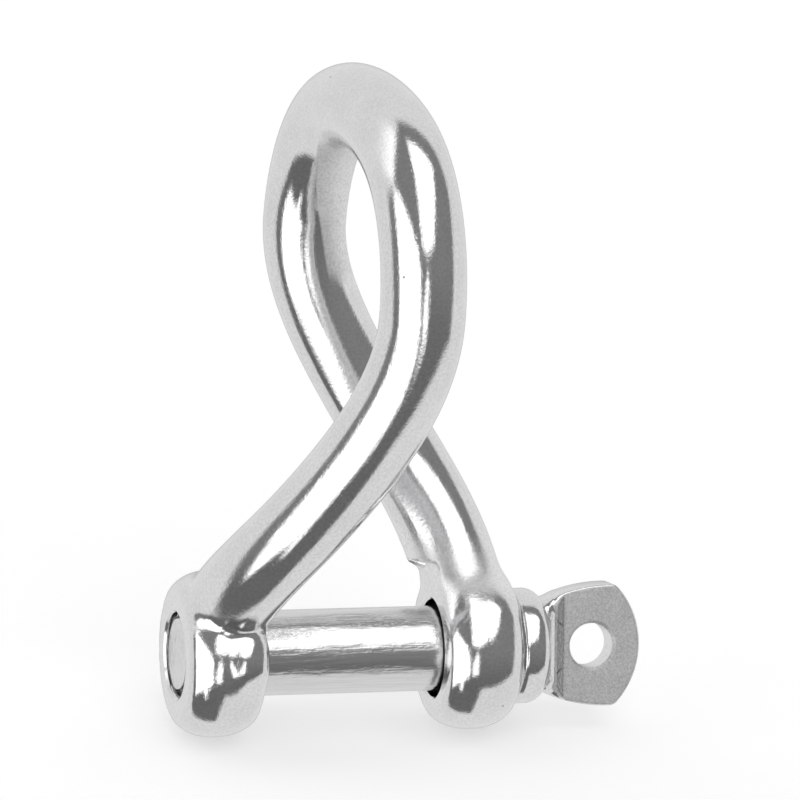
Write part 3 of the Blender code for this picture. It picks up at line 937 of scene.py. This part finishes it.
# A brighter strip beside the dark room's upper left edge: the direction square to it, its
# distance from the axis, its gain, and where it fades, twice across it and twice in height
STRIP_ACROSS, STRIP_RISE, STRIP_PLACE, STRIP_GAIN = -0.772, 0.636, 64.0, 0.6
STRIP_LIMITS = ((30, 3), (-8, 0), (20, 34), (84, 62))

# Where the pale room behind the shackle begins to grow darker, and how bright its middle is
FAR_SIDE, FAR_SHARE = 150, 0.6


def camera_axes(settings):
    """The camera's right, up and backward directions, with its lean."""
    across, level = math.sin(settings.azimuth), math.cos(settings.elevation)
    towards = math.cos(settings.azimuth)
    back = Vector((across * level, -towards * level, math.sin(settings.elevation)))
    side = Vector((towards, across, 0.0))
    up = back.cross(side)
    c, s = math.cos(settings.roll), math.sin(settings.roll)
    return c * side - s * up, s * side + c * up, back


def make_camera(settings):
    """The camera at its viewing angle, leaning a little, aimed at the shackle's middle."""
    right, up, back = camera_axes(settings)
    middle = Vector(AIM) * MM + up * AIM_UP * MM - right * AIM_LEFT * MM
    camera = bpy.data.objects.new("camera", bpy.data.cameras.new("camera"))
    bpy.context.scene.collection.objects.link(camera)
    turn = Matrix((right, up, back)).transposed().to_4x4()
    camera.matrix_world = Matrix.Translation(middle + back * settings.distance) @ turn
    camera.data.lens = settings.lens
    camera.data.sensor_width = 36.0
    camera.data.clip_start, camera.data.clip_end = 0.01, 100.0
    bpy.context.scene.camera = camera


def panel(graph, across, rise, corners, soft):
    """1 inside a convex panel whose corners go round anticlockwise, 0 outside it, with soft edges:
    the product over its sides of a smooth step of the distance past each."""
    inside = 1.0
    for (x, y), (next_x, next_y) in zip(corners, corners[1:] + corners[:1]):
        span = math.hypot(next_x - x, next_y - y)
        normal_x, normal_y = (y - next_y) / span, (next_x - x) / span
        offset = -(x * normal_x + y * normal_y)
        depth = across.math("MULTIPLY_ADD", normal_x, rise.math("MULTIPLY_ADD", normal_y, offset))
        inside = graph.range(depth, -soft, soft) * inside
    return inside


def make_surround(settings):
    """A pale room behind the shackle, and in front of it a dark one with softboxes.

    Every direction is taken as its angle from the main view's axis, split into degrees to the
    right of the axis and degrees above it, in proportion to its parts along the camera's axes.
    The camera itself sees plain white, and the steel sees the rooms.
    """
    world = bpy.data.worlds.new("studio")
    bpy.context.scene.world = world
    world.use_nodes = True
    graph = Graph(world.node_tree)
    place = graph.out("ShaderNodeTexCoord", output=0)
    right, up, back = (
        graph.out(
            "ShaderNodeVectorMath", {"operation": "DOT_PRODUCT"}, output=1,
            _0=place, _1=tuple(axis),
        )
        for axis in camera_axes(settings)
    )
    angle = back.math("ARCCOSINE") * (180 / math.pi)
    sine = (1.0 - back * back).math("MAXIMUM", 1e-6).math("SQRT")
    scale = angle.math("DIVIDE", sine)
    across, rise = right * scale, up * scale

    def any_panel(panels, soft):
        masks = [panel(graph, across, rise, corners, soft) for corners in panels]
        return functools.reduce(lambda a, b: a.math("MAXIMUM", b), masks)

    dark = any_panel((DARK_ROOM, DARK_LEFT, DARK_FLOOR), DARK_SOFT)
    lit = any_panel((LEFT_LAMP, LEFT_LAMP_FOOT, SMALL_LAMP, RIGHT_LAMP), LAMP_SOFT)
    deep = graph.mix_value(
        graph.range(rise, DARK_FOOT, 0), settings.dark, settings.dark * DARK_GAIN,
    )
    past = (across * STRIP_ACROSS + rise * STRIP_RISE).math("ADD", -STRIP_PLACE)
    sides = [
        graph.range(value, *limits) for value, limits in zip((past, past, rise, rise), STRIP_LIMITS)
    ]
    pale = settings.surround + math.prod(sides[1:], start=sides[0]) * STRIP_GAIN
    far = graph.range(angle, FAR_SIDE, 180)
    pale = graph.mix_value(far, pale, settings.surround * FAR_SHARE)
    strength = graph.mix_value(dark, pale, deep)
    strength = graph.mix_value(lit, strength, settings.lamp)
    strength = graph.mix_value(graph.out("ShaderNodeLightPath", output=0), strength, 1.0)
    background = world.node_tree.nodes["Background"]
    background.inputs["Color"].default_value = (1.0, 1.0, 1.0, 1.0)
    world.node_tree.links.new(strength.socket, background.inputs["Strength"])


def make_floor(settings):
    """A wide pale floor just under the shackle, glowing faintly like a light table."""
    half = 3.0
    z = FLOOR_HEIGHT
    corners = [(-half, -half, z), (half, -half, z), (half, half, z), (-half, half, z)]
    mesh = bpy.data.meshes.new("floor")
    mesh.from_pydata(corners, [], [(0, 1, 2, 3)])
    floor = bpy.data.objects.new("floor", mesh)
    bpy.context.scene.collection.objects.link(floor)
    material = bpy.data.materials.new("pale floor")
    material.use_nodes = True
    graph = Graph(material.node_tree)
    shader = material.node_tree.nodes["Principled BSDF"]
    tone = noise(graph, object_place(graph), per_metre=60, detail=3.0)
    tint = shades(graph, tone, settings.floor, darkest=0.99, lightest=1.01)
    graph.tree.links.new(tint.socket, shader.inputs["Base Color"])
    shader.inputs["Roughness"].default_value = 0.9
    shader.inputs["Emission Color"].default_value = (1.0, 1.0, 1.0, 1.0)
    shader.inputs["Emission Strength"].default_value = settings.glow
    floor.data.materials.append(material)
    floor.visible_glossy = False


# ---------------------------------------------------------------- operators and panel


class SHACKLE_OT_body(bpy.types.Operator):
    """Builds the forged and polished body"""

    bl_idname = "shackle.body"
    bl_label = "Forged body"

    def execute(self, context):
        scene = context.scene
        body = make_body(scene.shackle_body_sizes, scene.shackle_pin_sizes.pitch)
        body.data.materials.clear()
        body.data.materials.append(polished_steel(scene.shackle_finishes))
        smooth_shade(body, BODY_SHARP)
        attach(body, "shackle")
        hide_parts("shackle_body")
        return {"FINISHED"}


class SHACKLE_OT_pin(bpy.types.Operator):
    """Builds the screw pin with its collar and eye"""

    bl_idname = "shackle.pin"
    bl_label = "Screw pin"

    def execute(self, context):
        scene = context.scene
        sizes, looks = scene.shackle_pin_sizes, scene.shackle_finishes
        pin = make_pin(sizes)
        pin.data.materials.clear()
        for make in (drawn_steel, polished_steel, coined_steel):
            pin.data.materials.append(make(looks))
        pin.data.polygons.foreach_set("material_index", pin_finishes(pin, sizes))
        smooth_shade(pin, PIN_SHARP)
        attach(pin, "pin")
        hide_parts("screw_pin")
        return {"FINISHED"}


class SHACKLE_OT_studio(bpy.types.Operator):
    """Builds the floor, the light and the camera"""

    bl_idname = "shackle.studio"
    bl_label = "Studio"

    def execute(self, context):
        settings = context.scene.shackle_studio
        make_camera(settings)
        make_surround(settings)
        make_floor(settings)
        context.scene.view_settings.view_transform = "Standard"
        return {"FINISHED"}


OPERATORS = (SHACKLE_OT_studio, SHACKLE_OT_body, SHACKLE_OT_pin)
GROUPS = {
    "shackle_body_sizes": ShackleBodySizes,
    "shackle_pin_sizes": ScrewPinSizes,
    "shackle_finishes": SteelFinishes,
    "shackle_studio": StudioSettings,
}


class SHACKLE_PT_panel(bpy.types.Panel):
    """Lists the sizes, finishes and operators"""

    bl_label = "Shackle"
    bl_idname = "SHACKLE_PT_panel"
    bl_space_type = "VIEW_3D"
    bl_region_type = "UI"
    bl_category = "Shackle"

    def draw(self, context):
        for attribute in GROUPS:
            column = self.layout.column(align=True)
            group = getattr(context.scene, attribute)
            for name in group.__annotations__:
                column.prop(group, name)
        for operator in OPERATORS:
            self.layout.operator(operator.bl_idname)


def register():
    """Registers the groups, the operators and the panel."""
    for attribute, group in GROUPS.items():
        bpy.utils.register_class(group)
        setattr(bpy.types.Scene, attribute, bpy.props.PointerProperty(type=group))
    for cls in (*OPERATORS, SHACKLE_PT_panel):
        bpy.utils.register_class(cls)


def unregister():
    """Takes away what register added."""
    for cls in (SHACKLE_PT_panel, *reversed(OPERATORS)):
        bpy.utils.unregister_class(cls)
    for attribute, group in reversed(GROUPS.items()):
        delattr(bpy.types.Scene, attribute)
        bpy.utils.unregister_class(group)


def main():
    register()
    bpy.ops.shackle.studio()
    bpy.ops.shackle.body()
    bpy.ops.shackle.pin()


if __name__ == "__main__":
    main()
